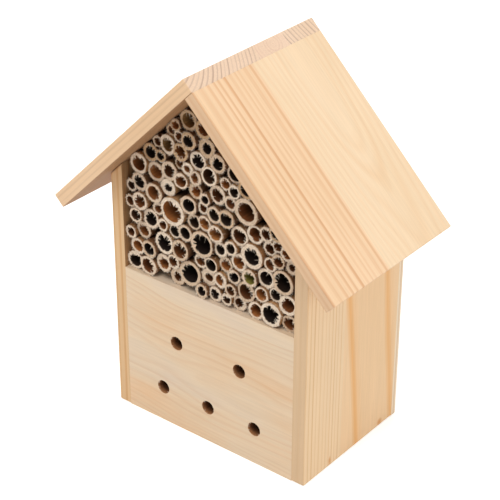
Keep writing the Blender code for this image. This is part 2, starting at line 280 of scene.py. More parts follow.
def stave(pith, spacing, strength, pale, late, start=0.0, wander=6.0, uneven=1.6, lean=0.0, tilt=0.0,
          line=SOFT_LINE, faintest=0.35):
    """One stave of a board: where its pith lies across and below the board's middle, and how its rings look.

    The rings' spacing and how far they wander are in MM. They run off the board's grain by lean across it and by
    tilt down into it, and the faintest ring is this share as dark as the darkest. A stave starts at its own
    distance across the board, unless it is the first.
    """
    return {"pith": pith, "spacing": spacing * MM, "strength": strength, "pale": pale, "late": late, "start": start,
            "wander": wander * MM, "uneven": uneven, "lean": lean, "tilt": tilt, "line": line, "faintest": faintest}


def ring_lines(recipe, local, wood, seed):
    """Growth rings of one stave: 0 in pale early wood, 1 in the dark line of late wood."""
    x, y, z = recipe.parts(local)[:3]
    y = recipe.maths("MULTIPLY_ADD", x, wood["lean"], y)
    across = recipe.less(y, wood["pith"][0])
    down = recipe.less(z, wood["pith"][1])
    down = recipe.maths("MULTIPLY_ADD", x, wood["tilt"], down)
    wander = recipe.less(recipe.grain(local, (6.0, 16.0, 16.0), 2.0, 0.45, seed), 0.5)
    distance = recipe.length(recipe.joined(0.0, across, down))
    distance = recipe.maths("MULTIPLY_ADD", wander, wood["wander"], distance)
    uneven = recipe.noise(recipe.joined(distance, 0.0, 0.0), 90.0, 1.0, 0.5, seed + 3.0)
    phase = recipe.over(distance, wood["spacing"])
    phase = recipe.maths("MULTIPLY_ADD", uneven, wood["uneven"], phase)
    line = recipe.steps(recipe.maths("FRACT", phase), wood["line"], smooth=True)
    number = recipe.maths("FLOOR", phase)
    lot = recipe.add("ShaderNodeTexWhiteNoise", {"W": number}, noise_dimensions="1D").outputs["Value"]
    return recipe.times(line, recipe.between(lot, wood["faintest"], 1.0))


def stave_colours(recipe, local, staves, seed, calm):
    """The ringed colour of a board glued up from staves, and its rings alone."""
    across = recipe.parts(local)[1]
    colour = rings = None
    for number, wood in enumerate(staves):
        line = ring_lines(recipe, local, wood, seed + 7.0 * number)
        share = recipe.times(recipe.times(line, wood["strength"]), calm)
        ringed = recipe.blend(share, wood["pale"], wood["late"])
        if number == 0:
            colour, rings = ringed, line
            continue
        past = recipe.maths("GREATER_THAN", across, wood["start"])
        colour = recipe.blend(past, colour, ringed)
        rings = recipe.blend(past, rings, line)
    return colour, rings


def knot_spot(recipe, local, knot):
    """1 in the middle of a knot and 0 outside it."""
    along, across, length, width = knot
    x, y = recipe.parts(local)[:2]
    off_along = recipe.over(recipe.less(x, along), length / 2)
    off_across = recipe.over(recipe.less(y, across), width / 2)
    far = recipe.length(recipe.joined(off_along, off_across, 0.0))
    return recipe.steps(far, ((0.2, 0.85), (0.6, 0.5), (1.0, 0.0)))


def pine(name, turn, centre, staves, seed, end_tint=(0.86, 0.84, 0.86), edge_tint=(1.0, 1.0, 1.0), tone=EVEN_TONE,
         edge_lines=1.0, face_lines=1.0, painted_shade_way=None, knots=()):
    """Untreated planed pine, ringed in three dimensions so that faces, edges and sawn ends agree.

    The sawn ends and the long edges at the front and back each have a tint, and the rings are as strong as
    edge_lines on those edges and as face_lines on the broad faces. A face that looks along painted_shade_way is
    darkened by painted shade, as wood out of the light is. A knot is given by its place along and across the board,
    its length and its width.
    """
    recipe = Recipe(name)
    unturned = turn.to_matrix().transposed()
    local = recipe.mapped(recipe.place(), rotation=unturned.to_euler(), location=unturned @ -Vector(centre))
    normal = recipe.normal()
    edge = recipe.steps(recipe.maths("ABSOLUTE", recipe.parts(normal)[1]), ((0.5, 0.0), (0.9, 1.0)))
    along = turn.to_matrix() @ Vector((1.0, 0.0, 0.0))
    end = recipe.steps(recipe.maths("ABSOLUTE", recipe.facing(normal, along)), ((0.6, 0.0), (0.85, 1.0)))
    calm = recipe.between(edge, face_lines, edge_lines)
    calm = recipe.maths("ADD", calm, recipe.times(end, recipe.less(1.0, calm)))
    colour, rings = stave_colours(recipe, local, staves, seed, calm)
    # fine fibres, a slow change of tone and short resin flecks
    fibres = recipe.grain(local, (22.0, 900.0, 900.0), 4.0, 0.6, seed + 20.0)
    flecks = recipe.grain(local, (90.0, 1500.0, 1500.0), 1.0, 0.5, seed + 21.0)
    flecks = recipe.steps(flecks, ((0.0, 0.0), (0.68, 0.0), (0.78, 1.0), (1.0, 1.0)))
    cloud = recipe.grain(local, (9.0, 26.0, 26.0), 3.0, 0.55, seed + 22.0)
    colour = recipe.shaded(colour, recipe.steps(fibres, ((0.25, 0.93), (0.75, 1.05))))
    colour = recipe.shaded(colour, recipe.steps(cloud, tone))
    colour = recipe.blend(recipe.times(flecks, 0.16), colour, RESIN)
    for knot in knots:
        colour = recipe.blend(knot_spot(recipe, local, knot), colour, KNOT)
    # long edges, painted shade on faces out of the light, and sawn ends with open pores
    colour = recipe.tinted(edge, colour, edge_tint)
    if painted_shade_way:
        # painted shade: faces that look along painted_shade_way, such as a roof's underside and a side board's inner
        # face, are darkened
        painted_shade_mask = recipe.steps(recipe.facing(normal, painted_shade_way), ((0.6, 0.0), (0.85, 1.0)))
        colour = recipe.tinted(painted_shade_mask, colour, PAINTED_SHADE_TINT)
    colour = recipe.tinted(end, colour, end_tint)
    pores = recipe.steps(recipe.noise(local, 1900.0, 2.0, 0.7, seed + 23.0), ((0.5, 0.0), (0.75, 0.45)))
    colour = recipe.blend(recipe.times(end, pores), colour, PORE)
    relief = recipe.maths("ADD", recipe.times(fibres, 0.8), recipe.times(rings, 0.35))
    return recipe.finish(colour, recipe.between(fibres, 0.5, 0.66), recipe.bump(relief, 0.10 * MM), specular=0.25)


def drilled_wall(mouth, back):
    """The wall of a drilled hole: rough, browned by the drill, ringed by its turns, with painted light at its mouth
    and painted shade that makes it darker further in.
    """
    recipe = Recipe("drilled_wall")
    spot = recipe.place()
    turns = recipe.grain(spot, (60.0, 1600.0, 60.0), 3.0, 0.7, 3.0)
    rough = recipe.noise(spot, 900.0, 4.0, 0.7, 5.0)
    colour = recipe.steps(rough, ((0.3, (0.26, 0.11, 0.045)), (0.7, (0.52, 0.26, 0.12))))
    colour = recipe.shaded(colour, recipe.steps(turns, ((0.3, 0.75), (0.7, 1.1))))
    depth = recipe.over(recipe.less(recipe.parts(spot)[1], mouth), back - mouth)
    depth = recipe.maths("MULTIPLY_ADD", recipe.less(rough, 0.5), 0.25, depth)
    # painted light at the mouth and painted shade deeper down the hole
    painted_light_and_shade_in_hole = ((0.0, (1.45, 1.5, 1.5)), (0.12, (1.0, 0.95, 0.9)), (0.4, (0.45, 0.36, 0.30)), (0.8, (0.16, 0.12, 0.10)))
    colour = recipe.shaded(colour, recipe.steps(depth, painted_light_and_shade_in_hole))
    return recipe.finish(colour, 0.85, recipe.bump(recipe.maths("ADD", turns, rough), 0.15 * MM), specular=0.15)


def plywood(name, front, back, seed):
    """Thin pine plywood between two depths: flat-sawn veneer on the faces and three plies on the edges."""
    recipe = Recipe(name)
    spot = recipe.place()
    x, y = recipe.parts(spot)[:2]
    wander = recipe.less(recipe.grain(spot, (22.0, 22.0, 5.0), 2.0, 0.5, seed), 0.5)
    phase = recipe.maths("MULTIPLY_ADD", wander, 7.0, recipe.times(x, 85.0))
    line = recipe.steps(recipe.maths("FRACT", phase), BROAD_LINE, smooth=True)
    face = recipe.blend(recipe.times(line, 0.65), (0.80, 0.58, 0.37), (0.67, 0.42, 0.22))
    ply = recipe.over(recipe.less(y, front), back - front)
    veneer = (0.84, 0.68, 0.50)
    plies = recipe.steps(ply, ((0.0, veneer), (0.32, veneer), (0.36, (0.70, 0.51, 0.34)),
                               (0.64, (0.74, 0.55, 0.37)), (0.68, veneer), (1.0, veneer)))
    on_face = recipe.maths("ABSOLUTE", recipe.parts(recipe.normal())[1])
    on_face = recipe.steps(on_face, ((0.5, 0.0), (0.8, 1.0)))
    fibres = recipe.grain(spot, (900.0, 900.0, 25.0), 4.0, 0.6, seed + 2.0)
    colour = recipe.blend(on_face, plies, face)
    colour = recipe.shaded(colour, recipe.steps(fibres, ((0.25, 0.88), (0.75, 1.06))))
    return recipe.finish(colour, recipe.between(fibres, 0.58, 0.74), recipe.bump(fibres, 0.1 * MM), specular=0.2)


def cane_skin():
    """The hard outer skin of dry bamboo, tan to brown, with painted shade that darkens it away from the cut end."""
    recipe = Recipe("cane_skin")
    spot = recipe.place()
    lot = recipe.attribute("cane_lot")
    lines = recipe.grain(spot, (2400.0, 30.0, 2400.0), 3.0, 0.6)
    patches = recipe.noise(spot, 110.0, 3.0, 0.6, 4.0)
    colour = recipe.steps(lot, ((0.0, (0.13, 0.055, 0.022)), (0.5, (0.24, 0.11, 0.042)), (0.75, (0.42, 0.20, 0.075)),
                                (1.0, (0.60, 0.33, 0.14))))
    colour = recipe.blend(recipe.steps(patches, ((0.45, 0.0), (0.7, 0.7))), colour, (0.07, 0.028, 0.012))
    # painted shade between the canes: the skin darkens with depth behind the cut end
    painted_shade_between_canes = recipe.steps(recipe.over(recipe.attribute("cane_depth"), 12 * MM),
                        ((0.0, 0.0), (0.10, 0.15), (0.6, 0.9)))
    colour = recipe.blend(painted_shade_between_canes, colour, (0.03, 0.012, 0.006))
    colour = recipe.shaded(colour, recipe.steps(lines, ((0.25, 0.75), (0.75, 1.12))))
    return recipe.finish(colour, recipe.between(lines, 0.42, 0.6), recipe.bump(lines, 0.05 * MM), specular=0.35)


def cane_cut():
    """A sawn bamboo end: pale furry wood with brown fibre bundles that crowd towards the skin."""
    recipe = Recipe("cane_cut")
    spot = recipe.place()
    across = recipe.attribute("cane_wall")
    lot = recipe.attribute("cane_lot")
    pale = recipe.steps(lot, ((0.0, (0.52, 0.34, 0.19)), (0.2, (0.64, 0.475, 0.33)), (0.6, (0.74, 0.585, 0.44)),
                              (1.0, (0.80, 0.665, 0.52))))
    fuzz = recipe.noise(spot, 1000.0, 3.0, 0.75, 2.0)
    furry = ((0.32, (0.60, 0.54, 0.48)), (0.52, (1.0, 1.0, 1.0)), (0.68, (1.16, 1.19, 1.22)))
    colour = recipe.shaded(pale, recipe.steps(fuzz, furry))
    cells = recipe.add("ShaderNodeTexVoronoi", {"Vector": spot, "Scale": 1700.0}, feature="F1").outputs["Distance"]
    dots = recipe.steps(cells, ((0.0, 1.0), (0.22, 1.0), (0.36, 0.0)))
    crowd = recipe.steps(across, ((0.0, 0.05), (0.5, 0.25), (0.92, 0.5), (1.0, 0.6)))
    colour = recipe.blend(recipe.times(dots, crowd), colour, (0.46, 0.29, 0.17))
    # darker outer and inner edges of the cut end: partly the skin's own dark line, partly painted shadow between
    # neighbouring canes
    rim = recipe.steps(across, ((0.0, 0.35), (0.06, 0.0), (0.84, 0.0), (0.94, 0.45), (1.0, 0.85)))
    colour = recipe.blend(rim, colour, (0.27, 0.145, 0.07))
    return recipe.finish(colour, 0.85, recipe.bump(fuzz, 0.2 * MM), specular=0.1)


def cane_bore():
    """The inside of a cane, from near black to orange brown, stained and streaked along its length, with painted
    light near the mouth and painted shade deeper in.
    """
    recipe = Recipe("cane_bore")
    spot = recipe.place()
    stain = recipe.attribute("cane_stain")
    streaks = recipe.grain(spot, (1300.0, 60.0, 1300.0), 3.0, 0.6, 6.0)
    colour = recipe.steps(
        stain,
        ((0.0, (0.020, 0.012, 0.009)), (0.16, (0.030, 0.016, 0.010)), (0.24, (0.11, 0.038, 0.013)),
         (0.55, (0.22, 0.076, 0.024)), (0.78, (0.40, 0.15, 0.042)), (0.90, (0.44, 0.19, 0.060)),
         (0.965, (0.25, 0.155, 0.060)), (1.0, (0.26, 0.22, 0.045))),
    )
    colour = recipe.shaded(colour, recipe.steps(streaks, ((0.25, 0.6), (0.75, 1.35))))
    depth = recipe.attribute("cane_depth")
    # painted light just inside the mouth and painted shade deeper down the bore
    painted_light_and_shade_in_bore = recipe.steps(recipe.over(depth, 20 * MM), ((0.0, 1.3), (0.35, 0.7), (1.0, 0.3)))
    colour = recipe.shaded(colour, painted_light_and_shade_in_bore)
    mouth = recipe.steps(recipe.over(depth, 2.0 * MM), ((0.0, 0.7), (0.3, 0.25), (0.7, 0.0)))
    colour = recipe.blend(mouth, colour, (0.66, 0.50, 0.34))
    return recipe.finish(colour, recipe.between(streaks, 0.55, 0.8), recipe.bump(streaks, 0.08 * MM), specular=0.2)


def torn_fibre():
    """Pale fibre that the saw and the drill tore loose."""
    recipe = Recipe("torn_fibre")
    shade = recipe.noise(recipe.place(), 900.0, 2.0, 0.5, 9.0)
    colour = recipe.steps(shade, ((0.3, (0.74, 0.60, 0.45)), (0.7, (0.94, 0.85, 0.72))))
    return recipe.finish(colour, 0.9, specular=0.1)


def zinc():
    """Zinc-plated pressed steel: a faint spangle, rubbed smoother in streaks."""
    recipe = Recipe("zinc_plate")
    spot = recipe.place()
    rub = recipe.grain(spot, (90.0, 400.0, 1200.0), 3.0, 0.6)
    cloud = recipe.noise(spot, 260.0, 3.0, 0.6, 3.0)
    colour = recipe.steps(cloud, ((0.3, (0.46, 0.47, 0.49)), (0.7, (0.66, 0.67, 0.69))))
    recipe.shader.inputs["Metallic"].default_value = 1.0
    return recipe.finish(colour, recipe.between(rub, 0.28, 0.5), recipe.bump(rub, 0.02 * MM), specular=0.5)


# ---- boards


def centre_of(node):
    """The middle of a CAD node's box."""
    low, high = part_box(node)
    return (Vector(low) + Vector(high)) / 2


def add_piece(name, shape, materials, slot, *nodes):
    """Makes the bmesh a piece of the house that stands for the named CAD nodes."""
    piece = set_out(name, mesh_from(name, shape))
    for material in materials:
        piece.data.materials.append(material)
    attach(piece, BODY)
    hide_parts(*nodes)
    return piece


def merged(node):
    """A copy of a CAD node's mesh with its loose triangles joined up."""
    shape = bmesh.new()
    shape.from_mesh(NODES[node].data)
    bmesh.ops.remove_doubles(shape, verts=shape.verts, dist=SAME_CORNER)
    return shape


def solid_of(node):
    """The same copy with one face for each flat."""
    shape = merged(node)
    bmesh.ops.dissolve_limit(shape, angle_limit=math.radians(1.0), verts=shape.verts, edges=shape.edges)
    return shape


def soften(shape, edges, width, segments=3):
    bmesh.ops.bevel(shape, geom=edges, offset=width, offset_type="OFFSET", affect="EDGES", segments=segments,
                    profile=0.5, material=-1, clamp_overlap=True)


def board(node, material, slot, width=BOARD_EDGE, butt=None, keep=()):
    """A CAD board with its sharp edges eased, as a planed board's are.

    The end that lies furthest along butt is pushed on until its joint is closed, and the edges that lie
    furthest along one of the keep directions stay sharp, because they meet another board flush.
    """
    shape = solid_of(node)
    if butt:
        furthest = max(vertex.co.dot(butt) for vertex in shape.verts)
        end = [vertex for vertex in shape.verts if vertex.co.dot(butt) > furthest - SAME_END]
        bmesh.ops.translate(shape, verts=end, vec=butt * (JOINT - GLUE_LINE))
    edges = [edge for edge in shape.edges if edge.calc_face_angle(0.0) > math.radians(30)]
    for way in keep:
        furthest = max(vertex.co.dot(way) for vertex in shape.verts)
        edges = [edge for edge in edges
                 if min(vertex.co.dot(way) for vertex in edge.verts) < furthest - SAME_END]
    soften(shape, edges, width)
    return add_piece(node + "_eased", shape, [material], slot, node)


PLANED, DRILLED, TORN = range(3)


def hole_middle(box, y):
    """The middle of an opening's box, at a depth of its own."""
    return Vector(((box[0][0] + box[1][0]) / 2, y, (box[0][2] + box[1][2]) / 2))


def hole_radius(box):
    """The radius of the plain front panel's hole round an opening's box."""
    x, z = (box[0][0] + box[1][0]) / 2, (box[0][2] + box[1][2]) / 2
    rim = [vertex.co.x for vertex in NODES["front_panel"].data.vertices
           if abs(vertex.co.x - x) < 8 * MM and abs(vertex.co.z - z) < 1 * MM]
    return max(rim) - x


def add_chips(shape, centre, radius, draw):
    """The pale chips that the drill left along one rim."""
    for _ in range(CHIPS_PER_HOLE):
        angle = draw.uniform(0.0, math.tau)
        root = centre + spoke(angle, radius + draw.uniform(0.0, 0.35) * MM, draw.uniform(0.1, 0.5) * MM)
        off = Vector((draw.uniform(-1, 1), draw.uniform(-0.25, 0.6), draw.uniform(-1, 1))) - spoke(angle, 0.9)
        tip = root + off.normalized() * draw.uniform(0.5, 1.4) * MM
        sliver(shape, root, tip, draw.uniform(0.08, 0.2) * MM, TORN)


def drilled_panel(materials):
    """The front panel with round holes: its outline and holes are filled, made thick and eased.

    The materials are in the order of PLANED, DRILLED and TORN.
    """
    low, high = (Vector(corner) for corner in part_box("front_panel"))
    low.x -= JOINT - GLUE_LINE
    high.x += JOINT - GLUE_LINE
    openings = frame["record"]["physics"]["openings"]
    holes = [entry["box_m"] for entry in openings if entry["name"].startswith("drilled_hole")]
    radius = hole_radius(holes[0])
    shape = bmesh.new()
    corners = [shape.verts.new((x, low.y, z)) for x, z in
               ((low.x, low.z), (high.x, low.z), (high.x, high.z), (low.x, high.z))]
    for first, second in zip(corners, corners[1:] + corners[:1]):
        shape.edges.new((first, second))
    for box in holes:
        turn = Matrix.Translation(hole_middle(box, low.y)) @ Matrix.Rotation(math.pi / 2, 4, "X")
        bmesh.ops.create_circle(shape, cap_ends=False, segments=HOLE_SEGMENTS, radius=radius, matrix=turn)
    bmesh.ops.triangle_fill(shape, use_beauty=True, use_dissolve=False, edges=shape.edges)
    face = bmesh.ops.extrude_face_region(shape, geom=shape.faces[:])["geom"]
    moved = [item for item in face if isinstance(item, bmesh.types.BMVert)]
    bmesh.ops.translate(shape, verts=moved, vec=(0.0, high.y - low.y, 0.0))
    bmesh.ops.recalc_face_normals(shape, faces=shape.faces)
    # the two ends meet the side boards, so their edges stay sharp
    sharp = [edge for edge in shape.edges if edge.calc_face_angle(0.0) > math.radians(60)
             and min(abs(vertex.co.x) for vertex in edge.verts) < high.x - 0.1 * MM]
    soften(shape, sharp, RIM_EDGE, segments=2)
    margin = 2 * MM
    for face in shape.faces:
        middle = face.calc_center_median()
        inside = low.x + margin < middle.x < high.x - margin and low.z + margin < middle.z < high.z - margin
        if inside and abs(face.normal.y) < 0.5:
            face.material_index = DRILLED
    draw = random.Random(SEED)
    for box in holes:
        add_chips(shape, hole_middle(box, low.y), radius, draw)
    return add_piece("front_panel_drilled", shape, materials, "pine", "front_panel")


# ---- canes


def flats_facing_front(shape):
    """The corners of each group of touching faces that face -Y and lie in one plane."""
    waiting = {face for face in shape.faces if face.normal.y < -0.999}
    while waiting:
        first = waiting.pop()
        group, fringe = [first], [first]
        while fringe:
            face = fringe.pop()
            for near in {other for edge in face.edges for other in edge.link_faces} & waiting:
                if abs(near.calc_center_median().y - first.calc_center_median().y) < SAME_FLAT:
                    waiting.remove(near)
                    group.append(near)
                    fringe.append(near)
        yield {vertex for face in group for vertex in face.verts}


def read_canes():
    """Every cane of the CAD bundles: its axis, cut end, closed joint and outer radius."""
    canes = []
    for node in sorted(name for name in NODES if name.startswith("cane_bundle")):
        shape = merged(node)
        shape.normal_update()
        flats = [[vertex.co.copy() for vertex in group] for group in flats_facing_front(shape)]
        shape.free()
        front = min(point.y for group in flats for point in group)
        joints = [group for group in flats if group[0].y > front + MOUTH_REACH]
        mouths = [group for group in flats if group[0].y <= front + MOUTH_REACH]
        for joint in joints:
            x = (min(point.x for point in joint) + max(point.x for point in joint)) / 2
            z = (min(point.z for point in joint) + max(point.z for point in joint)) / 2
            bore = max(math.hypot(point.x - x, point.z - z) for point in joint)

            def miss(group):
                """How far a cut end's inner rim is from fitting this joint's bore."""
                inner = min(group, key=lambda point: math.hypot(point.x - x, point.z - z))
                return abs(math.hypot(inner.x - x, inner.z - z) - bore)

            mouth = min(mouths, key=miss)
            radius = max(math.hypot(point.x - x, point.z - z) for point in mouth)
            canes.append({"node": node, "x": x, "z": z, "front": mouth[0].y, "joint": joint[0].y, "radius": radius})
    return sorted(canes, key=lambda one: (round(one["z"] / CANE_ROW), one["x"]))


def pressed_outline(one, canes, swell):
    """The cane's radius in each direction: round, and a little flat where a neighbour or a board presses on it."""
    flats = []
    for other in canes:
        across, up = other["x"] - one["x"], other["z"] - one["z"]
        away = math.hypot(across, up)
        if 0.0 < away < one["radius"] + other["radius"] + 2 * MM:
            share = one["radius"] / (one["radius"] + other["radius"])
            flats.append((math.atan2(up, across), away * share - CANE_CLEARANCE))
    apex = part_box("back_panel")[1][2]
    for side, node in ((1, "right_side_board"), (-1, "left_side_board")):
        wall = min(side * corner[0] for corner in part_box(node))
        flats.append((math.pi / 2 - side * math.pi / 2, wall - side * one["x"] - CANE_CLEARANCE))
        soffit = (apex - side * one["x"] - one["z"]) * SOFFIT_LEAN
        flats.append((math.pi / 2 - side * math.pi / 4, soffit))
    flats.append((-math.pi / 2, one["z"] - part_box("shelf_board")[1][2] - CANE_CLEARANCE))

    def outline(angle):
        radius = one["radius"] * swell
        for direction, limit in flats:
            lean = math.cos(angle - direction)
            if lean > 0.3:
                radius = min(radius, limit / lean)
        return radius

    return outline


class Tube:
    """A tube along -Y, drawn out of one ring of vertices station by station."""

    def __init__(self, x, z, segments, lot, stain):
        self.shape = bmesh.new()
        self.x, self.z, self.segments = x, z, segments
        floats = self.shape.verts.layers.float
        self.depth, self.wall = floats.new("cane_depth"), floats.new("cane_wall")
        self.lot, self.stain = floats.new("cane_lot"), floats.new("cane_stain")
        self.values = {self.lot: lot, self.stain: stain}
        turn = Matrix.Translation((x, 0.0, z)) @ Matrix.Rotation(math.pi / 2, 4, "X")
        bmesh.ops.create_circle(self.shape, cap_ends=False, segments=segments, radius=1 * MM, matrix=turn)
        self.edges = self.shape.edges[:]
        self.verts = self.shape.verts[:]

    def number(self, vertex):
        """Which of the ring's corners this is, counted round the axis."""
        turn = math.atan2(vertex.co.z - self.z, vertex.co.x - self.x) / math.tau
        return round(turn * self.segments) % self.segments

    def put(self, radius_at, y_at, depth, wall):
        """Sets the open ring's radius and Y, corner by corner, and what its vertices carry."""
        for vertex in self.verts:
            k = self.number(vertex)
            angle = math.tau * k / self.segments
            radius = radius_at(k)
            vertex.co = (self.x + radius * math.cos(angle), y_at(k), self.z + radius * math.sin(angle))
            vertex[self.depth], vertex[self.wall] = depth, wall
            for layer, value in self.values.items():
                vertex[layer] = value

    def draw(self, radius_at, y_at, depth, wall, material):
        """Extrudes the open ring to the next station."""
        made = bmesh.ops.extrude_edge_only(self.shape, edges=self.edges)["geom"]
        self.verts = [item for item in made if isinstance(item, bmesh.types.BMVert)]
        new = set(self.verts)
        self.edges = [item for item in made
                      if isinstance(item, bmesh.types.BMEdge) and new.issuperset(item.verts)]
        for item in made:
            if isinstance(item, bmesh.types.BMFace):
                item.material_index = material
        self.put(radius_at, y_at, depth, wall)

    def close(self, material):
        """Caps the open ring."""
        face = bmesh.ops.contextual_create(self.shape, geom=self.edges)["faces"][0]
        face.material_index = material


SKIN, CUT, INSIDE, FIBRE = range(4)


def sliver(shape, root, tip, width, material, floats=()):
    """One torn fibre or chip: a thin three-sided spike, with the values that its vertices carry."""
    along = tip - root
    turn = Matrix.Translation((root + tip) / 2) @ along.to_track_quat("Z", "Y").to_matrix().to_4x4()
    made = bmesh.ops.create_cone(shape, cap_ends=True, segments=3, radius1=width, radius2=width * 0.25,
                                 depth=along.length, matrix=turn)["verts"]
    for vertex in made:
        for face in vertex.link_faces:
            face.material_index = material
        for layer, value in floats:
            vertex[layer] = value


def burrs(draw, count, ragged, lean):
    """How far each corner of the bore's rim is drawn inwards by torn fibres, as a share of the bore's radius."""
    reach = [0.01 + 0.06 * draw.random() for _ in range(count)]
    for _ in range(round(ragged * count * 0.36)):
        around = draw.gauss(lean, 0.75) if draw.random() < 0.8 else draw.uniform(0.0, math.tau)
        k = round(around / math.tau * count) % count
        toward = 0.5 + 0.5 * math.cos(around - lean)
        length = (0.10 + 0.42 * draw.random() ** 1.4) * (0.45 + 0.55 * toward)
        reach[k] = max(reach[k], length)
        if draw.random() < 0.55:
            beside = (k + draw.choice((-1, 1))) % count
            reach[beside] = max(reach[beside], length * draw.uniform(0.35, 0.7))
    return reach


class Cane:
    """One bamboo cane: skin, sawn end, torn rim, stained bore and the joint that closes it.

    Chance decides its traits first and its loose fibres after them, always in the same order.
    """

    def __init__(self, number, info, canes):
        self.draw = draw = random.Random(SEED * 1000 + number)
        self.name, self.node = f"cane_{number + 1:03d}", info["node"]
        self.x, self.z, self.size = info["x"], info["z"], info["radius"]
        self.front, self.joint, self.back = info["front"], info["joint"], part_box(info["node"])[1][1]
        self.centre = Vector((self.x, self.front, self.z))
        self.outline = pressed_outline(info, canes, draw.uniform(*CANE_SWELL))
        count = 52 if self.size > 6.5 * MM else 44
        thick = draw.random()
        self.bore = self.size * (draw.uniform(0.54, 0.64) if thick > 0.84 else draw.uniform(0.72, 0.83))
        # painted shade under the roof: higher canes draw a lower lot, so their ends and skins are darker
        painted_roof_shade = max(0.0, self.z - PAINTED_ROOF_SHADE_LEVEL) / (30 * MM)
        self.lot, self.stain = draw.random() ** (1.0 + 2.5 * painted_roof_shade), 0.96 * draw.random()
        if self.size > 6 * MM and draw.random() < 0.25:
            self.stain *= 0.15
        if math.hypot(self.x - OLIVE_CANE[0], self.z - OLIVE_CANE[1]) < 4 * MM:
            self.stain = 1.0
        self.ragged = 0.25 + 0.75 * draw.random() if self.stain > 0.2 else draw.random() ** 1.5
        self.lean = math.pi / 2 + draw.gauss(0.0, 0.8)
        self.tilt = draw.uniform(-0.05, 0.05), draw.uniform(-0.05, 0.05)
        oval, oval_turn = draw.uniform(0.0, 0.03), draw.uniform(0.0, math.pi)
        ripple = [draw.uniform(0.0, 0.03) for _ in range(count)]
        self.fuzz = [draw.uniform(0.0, 0.32) * MM for _ in range(count)]
        self.reach = burrs(draw, count, self.ragged, self.lean)
        self.angles = [math.tau * k / count for k in range(count)]
        self.skin = [self.outline(angle) * (1.0 - 0.5 * ripple[k]) for k, angle in enumerate(self.angles)]
        self.hollow = [min(self.bore * (1.0 + oval * math.cos(2 * (angle - oval_turn)) - ripple[k]),
                           self.skin[k] - 0.55 * MM) for k, angle in enumerate(self.angles)]
        self.tube = Tube(self.x, self.z, count, self.lot, self.stain)

    def slant(self, angle):
        """How far the lean of the saw cut puts the end back, at an angle round it."""
        return self.size * (self.tilt[0] * math.cos(angle) + self.tilt[1] * math.sin(angle))

    def cut_plane(self, depth, roughness=0.0):
        """The Y of each corner of a ring that lies along the saw cut, this far behind it."""
        def at(k):
            return self.front + depth + self.slant(self.angles[k]) + roughness * (self.draw.random() - 0.5)
        return at

    def draw_wall(self):
        """From the back end along the skin, over the cut end and its burrs, and down the bore to the joint."""
        tube, skin, hollow, reach = self.tube, self.skin, self.hollow, self.reach
        front, joint = self.front, self.joint

        def ring(radii, share=1.0):
            return lambda k: radii[k] * share

        def across(share):
            """Between the bore, at 0, and the skin, at 1."""
            return lambda k: hollow[k] + (skin[k] - hollow[k]) * share

        def level(y):
            return lambda k: y

        tube.put(ring(skin), level(self.back), self.back - front, 1.0)
        back_edges = tube.edges
        # a slight swelling where the joint is
        for past, swell in ((2.5 * MM, 1.0), (0.0, 1.008), (-2.5 * MM, 1.0)):
            tube.draw(ring(skin, swell), level(joint + past), joint - front, 1.0, SKIN)
        tube.draw(ring(skin), level(front + 6 * MM), 6 * MM, 1.0, SKIN)
        tube.draw(ring(skin), self.cut_plane(0.45 * MM, 0.25 * MM), 0.45 * MM, 1.0, SKIN)
        tube.draw(lambda k: skin[k] - self.fuzz[k], self.cut_plane(0.05 * MM, 0.12 * MM), 0.0, 0.98, CUT)
        for share in (0.75, 0.5, 0.25):
            tube.draw(across(share), self.cut_plane(0.0, 0.2 * MM), 0.0, share, CUT)
        tube.draw(lambda k: hollow[k] * (1.0 - reach[k]), self.cut_plane(0.12 * MM, 0.6 * MM * self.ragged),
                  0.1 * MM, 0.03, CUT)
        tube.draw(lambda k: hollow[k] * (1.0 - 0.42 * reach[k]), self.cut_plane(0.45 * BURR_DEPTH),
                  0.5 * BURR_DEPTH, 0.0, INSIDE)
        tube.draw(ring(hollow), self.cut_plane(BURR_DEPTH), BURR_DEPTH, 0.0, INSIDE)
        for step in range(1, 5):
            y = front + BURR_DEPTH + (joint - front - BURR_DEPTH) * (step / 4) ** 1.5
            tube.draw(ring(hollow, 1.0 - 0.015 * step), level(y), y - front, 0.0, INSIDE)
        tube.draw(ring(hollow, 0.45), level(joint + 0.8 * MM), joint - front, 0.0, INSIDE)
        tube.close(INSIDE)
        tube.edges = back_edges
        tube.close(SKIN)
        bmesh.ops.recalc_face_normals(tube.shape, faces=tube.shape.faces)

    def rim(self, angle, radius, depth=0.12 * MM):
        """A place on the cut end."""
        return self.centre + spoke(angle, radius, self.slant(angle) + depth)

    def spike(self, start, way, lengths, widths, *kinds):
        """One fibre or chip: its length and width are drawn between limits in MM, its material from the kinds."""
        tip = start + way.normalized() * self.draw.uniform(*lengths) * MM
        width = self.draw.uniform(*widths) * MM
        kind = self.draw.choice(kinds) if len(kinds) > 1 else kinds[0]
        tube = self.tube
        sliver(tube.shape, start, tip, width, kind,
               ((tube.lot, self.lot), (tube.stain, self.stain), (tube.depth, 0.0), (tube.wall, 0.5)))

    def any_way(self, *limits):
        """A direction drawn between two limits along each axis."""
        return Vector([self.draw.uniform(*pair) for pair in limits])

    def add_splinters(self):
        """Splinters that lean across the bore, mostly from one side of it."""
        for _ in range(round(3 + 15 * self.ragged)):
            angle = self.draw.gauss(self.lean, 1.0)
            inward = self.any_way((-0.45, 0.45), (-0.6, 0.4), (-0.45, 0.45)) - spoke(angle)
            lengths = (0.15 * self.bore / MM, 0.6 * self.bore / MM)
            self.spike(self.rim(angle, self.bore * 1.04), inward, lengths, (0.10, 0.24), FIBRE)

